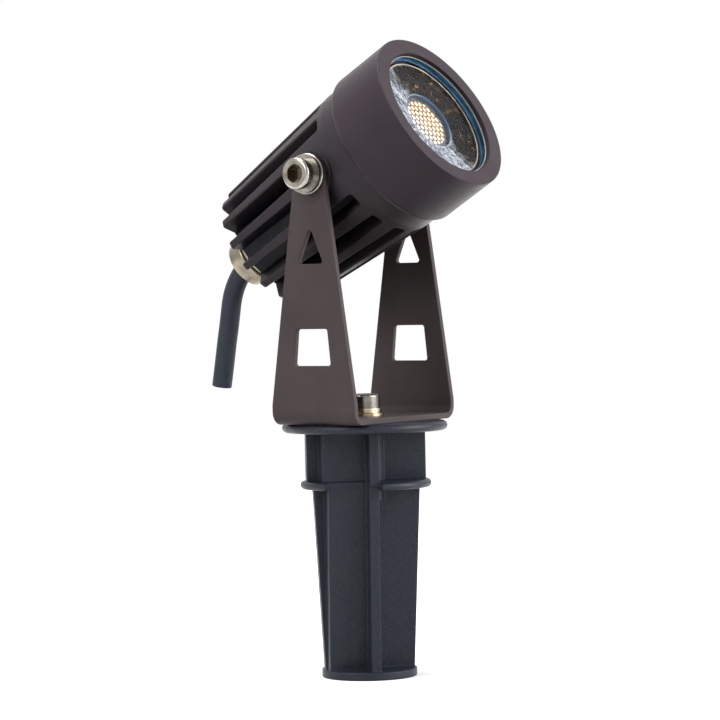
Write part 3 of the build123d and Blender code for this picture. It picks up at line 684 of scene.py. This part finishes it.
FINISHES = {
    "ground_stake": STAKE_PLASTIC,
    "stake_insert": BRASS,
    "base_flat_washer": BASE_WASHER,
    "base_spring_washer": BASE_WASHER,
    "base_bolt": BASE_SCREW,
    "yoke_bracket": BRACKET_PAINT,
    "pivot_flat_washers": STAINLESS,
    "pivot_spring_washers": STAINLESS,
    "pivot_bolt_left": PIVOT_SCREW,
    "pivot_bolt_right": PIVOT_SCREW,
    "front_bezel": BEZEL_PAINT,
    "glass_gasket": CLEAR_SEAL,
    "front_glass": GLASS,
    "heat_sink_body": BODY_PAINT,
    "bezel_o_ring": SEAL,
    "tir_lens": ACRYLIC,
    "lens_holder": HOLDER,
    "led_emitter": PHOSPHOR,
    "led_board": BOARD,
    "thermal_pad": PAD_GREY,
    "board_screws": STAINLESS,
    "cable_gland": NICKEL,
    "gland_nut": NICKEL,
    "gland_gasket": SEAL,
    "gland_bush": SEAL,
    "cable_tail": JACKET,
    "lead_wires": WIRE,
    "power_cord": JACKET,
}


def paint(obj, material):
    obj.data.materials.clear()
    obj.data.materials.append(material)


for node_name, finish in FINISHES.items():
    paint(nodes[node_name], finish)
paint(cord, JACKET)
paint(lens, ACRYLIC)


# Floor, world and studio lights
FLOOR_BOUNCE = (0.22, 0.22, 0.22)
PAPER_DARK = (0.9, 0.9, 0.9)
PAPER_LIGHT = (0.92, 0.92, 0.92)
GLOW_REACH = (0.12, 0.55)
AHEAD_SPAN = (-0.8, 0.7)
OVERHEAD_SPAN = (0.3, 0.62)


def stage_floor(size, glow):
    """White paper: it takes the object's shadow, and its own glow lifts it to white where it is seen."""
    half = size / 2
    corners = [(-half, -half, 0), (half, -half, 0), (half, half, 0), (-half, half, 0)]
    mesh = bpy.data.meshes.new("floor")
    mesh.from_pydata(corners, [], [(0, 1, 2, 3)])
    floor = link(bpy.data.objects.new("floor", mesh))
    s = Shader("floor_paper")
    s.set(Roughness=0.95, Specular_IOR_Level=0.0, Emission_Color=(1, 1, 1, 1))
    seen = s.seen_rays()
    outward = s.ramp(s.vector("LENGTH", s.place)["Value"], *GLOW_REACH, glow, 1.0)
    s.join(s.math("MULTIPLY", seen, outward), s.principled.inputs["Emission Strength"])
    paper = s.tones(s.noise(scale=30, detail=3), PAPER_DARK, PAPER_LIGHT)
    s.finish(s.mix(seen, FLOOR_BOUNCE, paper))
    paint(floor, s.material)


def world_light(near, far, top):
    """White backdrop, shown by metal and glass too; as light it dims overhead and on the camera's side."""
    world = bpy.data.worlds.new("studio")
    scene.world = world
    world.use_nodes = True
    n = Nodes(world.node_tree)
    n.tree.nodes.clear()
    way = n.node("ShaderNodeTexCoord").outputs["Generated"]
    ahead = n.vector("DOT_PRODUCT", way, look)["Value"]
    height = n.vector("DOT_PRODUCT", way, (0, 0, 1))["Value"]
    round_about = n.ramp(ahead, *AHEAD_SPAN, near, far, "SMOOTHSTEP")
    overhead = n.ramp(height, *OVERHEAD_SPAN, 1.0, top, "SMOOTHSTEP")
    lit = n.node("ShaderNodeBackground")
    n.join(n.math("MULTIPLY", round_about, overhead), lit.inputs["Strength"])
    seen = n.node("ShaderNodeBackground")
    for background in (lit, seen):
        background.inputs["Color"].default_value = (1, 1, 1, 1)
    mixer = n.node("ShaderNodeMixShader")
    n.join(n.seen_rays(), mixer.inputs["Fac"])
    n.join(lit.outputs[0], mixer.inputs[1])
    n.join(seen.outputs[0], mixer.inputs[2])
    out = n.node("ShaderNodeOutputWorld")
    n.join(mixer.outputs[0], out.inputs["Surface"])


def soft_box(name, place, aim, size, power):
    """Rectangular lamp that faces a point."""
    data = bpy.data.lights.new(name, "AREA")
    data.shape = "RECTANGLE"
    data.size, data.size_y = size
    data.energy = power
    lamp = link(bpy.data.objects.new(name, data))
    lamp.location = place
    lamp.rotation_mode = "QUATERNION"
    lamp.rotation_quaternion = (Vector(aim) - Vector(place)).to_track_quat("-Z", "Y")


stage_floor(size=1.6, glow=0.35)
world_light(near=0.25, far=1.0, top=0.14)
soft_box("top", place=(-0.1, 0.25, 1.05), aim=(0, 0, 0.13), size=(0.6, 0.6), power=8.5)
soft_box("key_left", place=(-0.95, 0.2, 0.55), aim=(0, 0, 0.11), size=(0.5, 0.5), power=5.5)
soft_box("front_right", place=(0.35, -1.0, 0.45), aim=(0, 0, 0.11), size=(0.8, 0.8), power=15)
